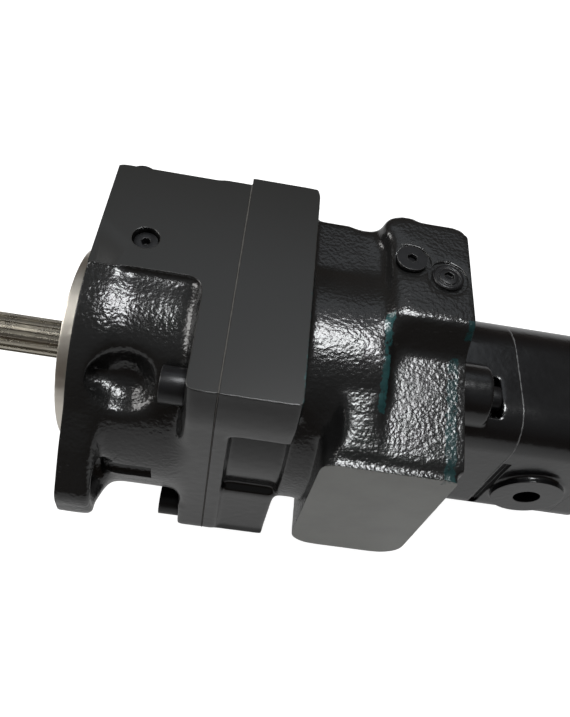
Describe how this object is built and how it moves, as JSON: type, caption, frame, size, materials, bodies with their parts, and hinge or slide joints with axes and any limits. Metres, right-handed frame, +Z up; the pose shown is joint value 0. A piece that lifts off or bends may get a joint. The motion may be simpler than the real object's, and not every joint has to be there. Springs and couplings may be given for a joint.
{
  "type": "axial piston pump",
  "caption": "Flange-mounted variable axial piston pump with a splined shaft, a two-part cast case and a gear pump on its rear face.",
  "frame": {"origin": "on the shaft axis, in the mounting face of the front flange", "axes": "+X along the shaft from the mounting face to the rear gear pump, +Z up through the machined top faces, so the shaft end points along -X"},
  "size_m": [0.432, 0.228, 0.194],
  "materials": {
    "cast_black": "satin paint over cast and machined iron",
    "pump_black": "gloss black paint",
    "black_fastener": "painted over black oxide",
    "rubber": "moulded",
    "gasket": "fibre sheet",
    "spring_steel": "drawn wire",
    "bronze": "machined",
    "alloy": "machined",
    "ground_steel": "ground"
  },
  "bodies": {
    "housing": {"compensator_cap": "black_fastener", "compensator_spring": "spring_steel", "control_sleeve": "ground_steel", "dowel_pins": "ground_steel", "drain_plug": "black_fastener", "far_side_plug": "black_fastener", "front_bearing_cup": "ground_steel", "front_housing": "cast_black", "gallery_plugs": "black_fastener", "gear_bearing_blocks": "alloy", "gear_pump_body": "pump_black", "gear_pump_bolts": "black_fastener", "gear_pump_cover": "pump_black", "gear_pump_end_cover": "pump_black", "gear_pump_mount_bolts": "black_fastener", "gear_shaft_seal": "rubber", "housing_bolts": "black_fastener", "housing_gasket": "gasket", "rear_bearing_cup": "ground_steel", "rear_housing": "cast_black", "return_springs": "spring_steel", "seal_snap_ring": "spring_steel", "shaft_seal": "rubber", "valve_plate": "bronze"},
    "rotor": {"drive_shaft": "ground_steel", "front_bearing_cone": "ground_steel", "front_bearing_rollers": "ground_steel", "rear_bearing_cone": "ground_steel", "rear_bearing_rollers": "ground_steel", "shaft_coupling": "ground_steel", "cylinder_block": "bronze", "retainer_plate": "ground_steel", "retainer_ball": "ground_steel", "hold_down_pins": "ground_steel", "block_spring": "spring_steel", "block_spring_rings": "spring_steel", "gear_drive_shaft": "ground_steel", "piston_1": "ground_steel", "piston_2": "ground_steel", "piston_3": "ground_steel", "piston_4": "ground_steel", "piston_5": "ground_steel", "piston_6": "ground_steel", "piston_7": "ground_steel", "piston_8": "ground_steel", "piston_9": "ground_steel", "slipper_1": "bronze", "slipper_2": "bronze", "slipper_3": "bronze", "slipper_4": "bronze", "slipper_5": "bronze", "slipper_6": "bronze", "slipper_7": "bronze", "slipper_8": "bronze", "slipper_9": "bronze"},
    "swash": {"swash_plate": "ground_steel", "swash_pivot_balls": "ground_steel"},
    "control": {"control_piston": "ground_steel"},
    "spool": {"compensator_spool": "ground_steel"},
    "idler": {"driven_gear": "ground_steel"}
  },
  "joints": [
    {"name": "shaft_spin", "type": "hinge", "parent": "housing", "child": "rotor", "pos_m": [0, 0, 0], "axis": [1, 0, 0], "continuous": true},
    {"name": "driven_gear_spin", "type": "hinge", "parent": "housing", "child": "idler", "pos_m": [0.301, 0, -0.039], "axis": [1, 0, 0], "continuous": true},
    {"name": "swash_tilt", "type": "hinge", "parent": "housing", "child": "swash", "pos_m": [0.052, 0, 0.057], "axis": [0, 1, 0], "range_deg": [0, 15], "stiffness_Nm_per_rad": 30, "springref_deg": -20.05, "deforming": ["return_springs"]},
    {"name": "control_slide", "type": "slide", "parent": "housing", "child": "control", "axis": [-1, 0, 0], "range_m": [0, 0.0344]},
    {"name": "spool_slide", "type": "slide", "parent": "housing", "child": "spool", "axis": [0, 1, 0], "range_m": [0, 0.003], "stiffness_N_per_m": 4000, "springref_m": -0.002, "deforming": ["compensator_spring"]}
  ],
  "couplings": [
    {"joint": "driven_gear_spin", "follows": "shaft_spin", "ratio": -1},
    {"joint": "control_slide", "follows": "swash_tilt", "m_per_rad": 0.1311}
  ]
}
